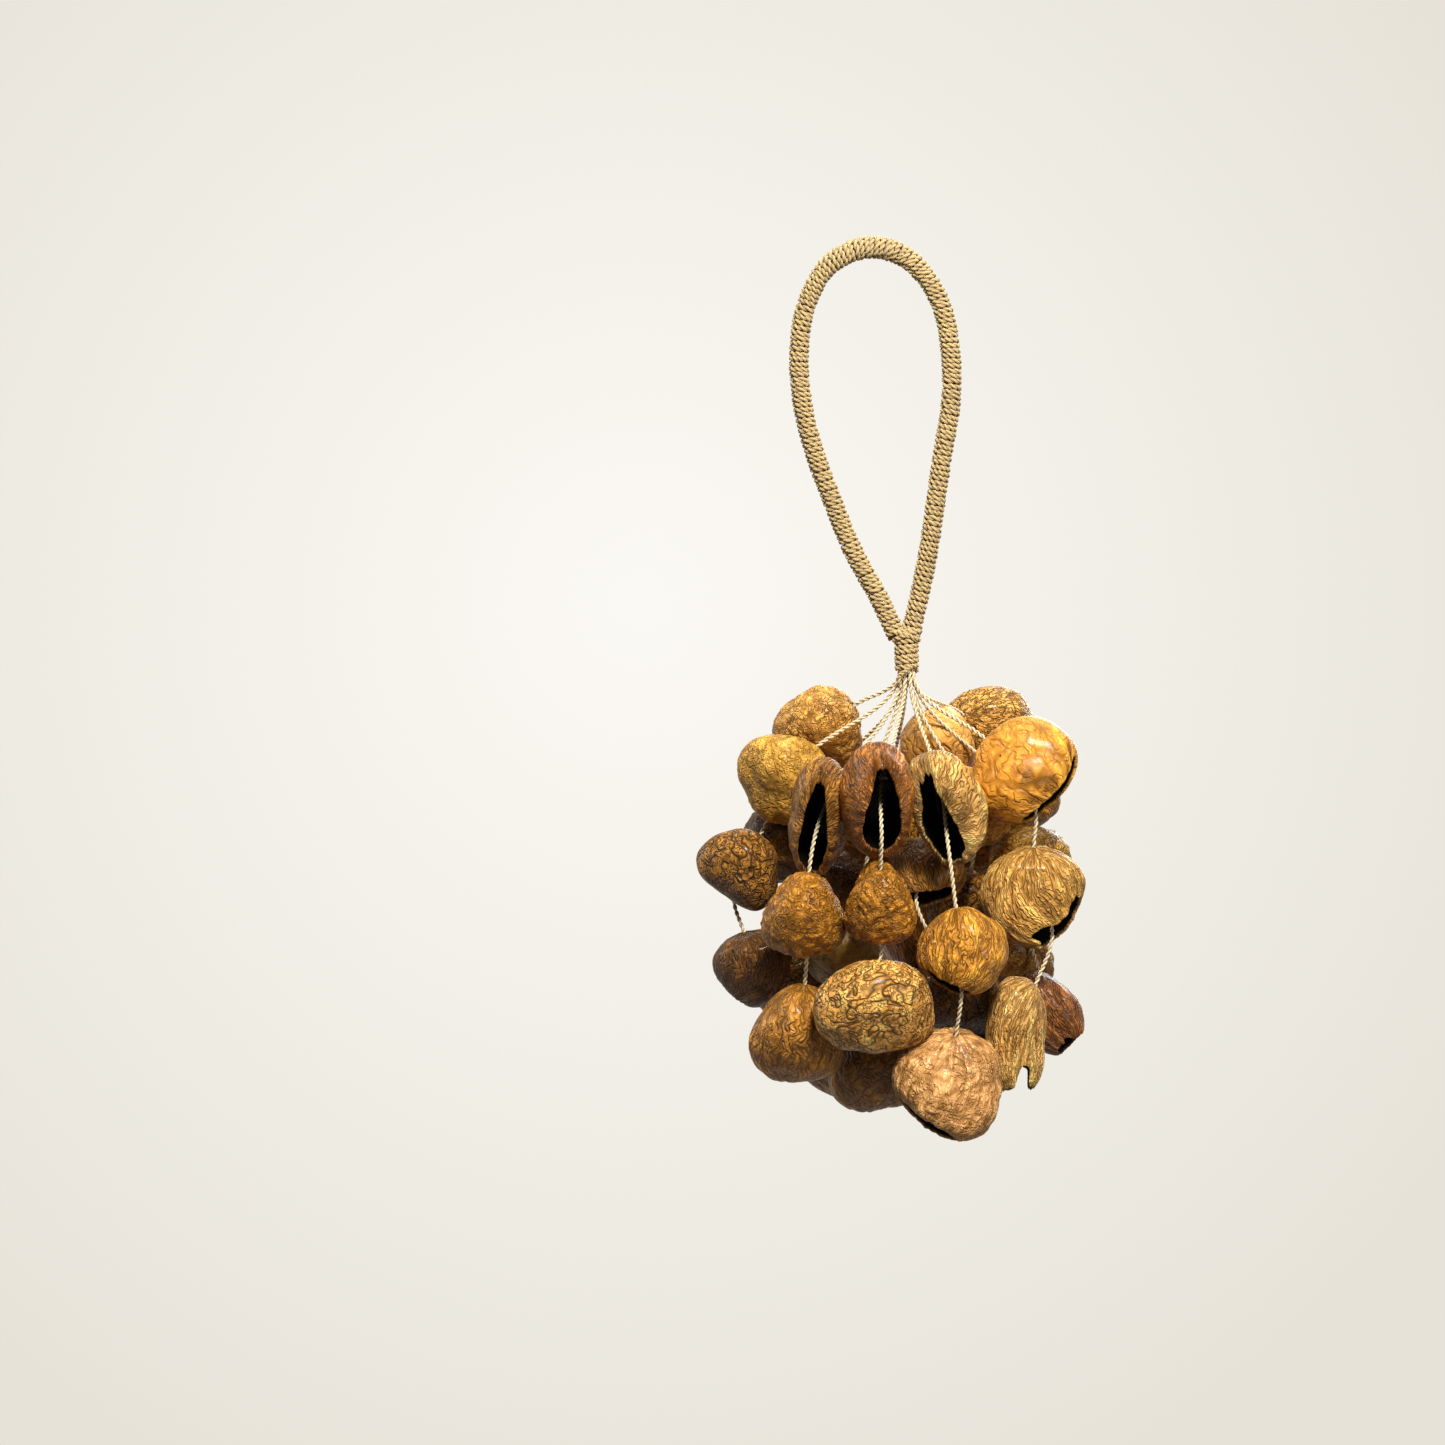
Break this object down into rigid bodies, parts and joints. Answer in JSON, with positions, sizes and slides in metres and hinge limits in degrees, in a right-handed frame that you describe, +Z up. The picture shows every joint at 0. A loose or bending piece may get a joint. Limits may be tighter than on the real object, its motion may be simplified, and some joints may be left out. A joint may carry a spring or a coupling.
{
  "type": "nutshell rattle",
  "caption": "Hand rattle of hollow nutshells hung in tiers on knotted twine cords under a long twine-wound loop handle.",
  "frame": {"origin": "the point on the inner side of the handle loop where a hook or a finger carries the rattle, above its centre of mass", "axes": "+Z up as it hangs, +X to the right seen from the front, the front faces -Y; the handle loop lies in the XZ plane"},
  "size_m": [0.1619, 0.1572, 0.3769],
  "materials": {
    "tan_nutshell": "satin varnish",
    "dark_nutshell": "satin varnish",
    "winding_twine": "dry natural twine",
    "cord": "dry natural twine",
    "handle_core": "dry natural rope"
  },
  "bodies": {
    "root": {"collar_binding": "winding_twine", "cord_far_right": "cord", "cord_front_left": "cord", "cord_front_middle": "cord", "cord_front_right": "cord", "cord_inner_left": "cord", "cord_inner_middle": "cord", "cord_inner_right": "cord", "cord_left": "cord", "cord_left_rear": "cord", "cord_rear_left": "cord", "cord_rear_middle": "cord", "cord_right": "cord", "cord_right_rear": "cord", "handle_core": "handle_core", "handle_winding": "winding_twine", "nut_far_right_lower": "dark_nutshell", "nut_far_right_middle": "tan_nutshell", "nut_far_right_upper": "tan_nutshell", "nut_front_left_lower": "tan_nutshell", "nut_front_left_middle": "dark_nutshell", "nut_front_left_upper": "tan_nutshell", "nut_front_middle_lower": "tan_nutshell", "nut_front_middle_middle": "dark_nutshell", "nut_front_middle_upper": "tan_nutshell", "nut_front_right_lower": "tan_nutshell", "nut_front_right_middle": "tan_nutshell", "nut_front_right_upper": "tan_nutshell", "nut_inner_left_lower": "dark_nutshell", "nut_inner_left_middle": "dark_nutshell", "nut_inner_left_upper": "tan_nutshell", "nut_inner_middle_lower": "dark_nutshell", "nut_inner_middle_middle": "tan_nutshell", "nut_inner_middle_upper": "tan_nutshell", "nut_inner_right_lower": "dark_nutshell", "nut_inner_right_middle": "dark_nutshell", "nut_inner_right_upper": "tan_nutshell", "nut_left_lower": "dark_nutshell", "nut_left_middle": "tan_nutshell", "nut_left_rear_lower": "tan_nutshell", "nut_left_rear_middle": "dark_nutshell", "nut_left_rear_upper": "tan_nutshell", "nut_left_upper": "tan_nutshell", "nut_rear_left_lower": "dark_nutshell", "nut_rear_left_middle": "tan_nutshell", "nut_rear_left_upper": "tan_nutshell", "nut_rear_middle_lower": "tan_nutshell", "nut_rear_middle_middle": "tan_nutshell", "nut_rear_middle_upper": "tan_nutshell", "nut_right_lower": "tan_nutshell", "nut_right_middle": "tan_nutshell", "nut_right_rear_lower": "dark_nutshell", "nut_right_rear_middle": "tan_nutshell", "nut_right_rear_upper": "tan_nutshell", "nut_right_upper": "tan_nutshell"}
  },
  "joints": []
}
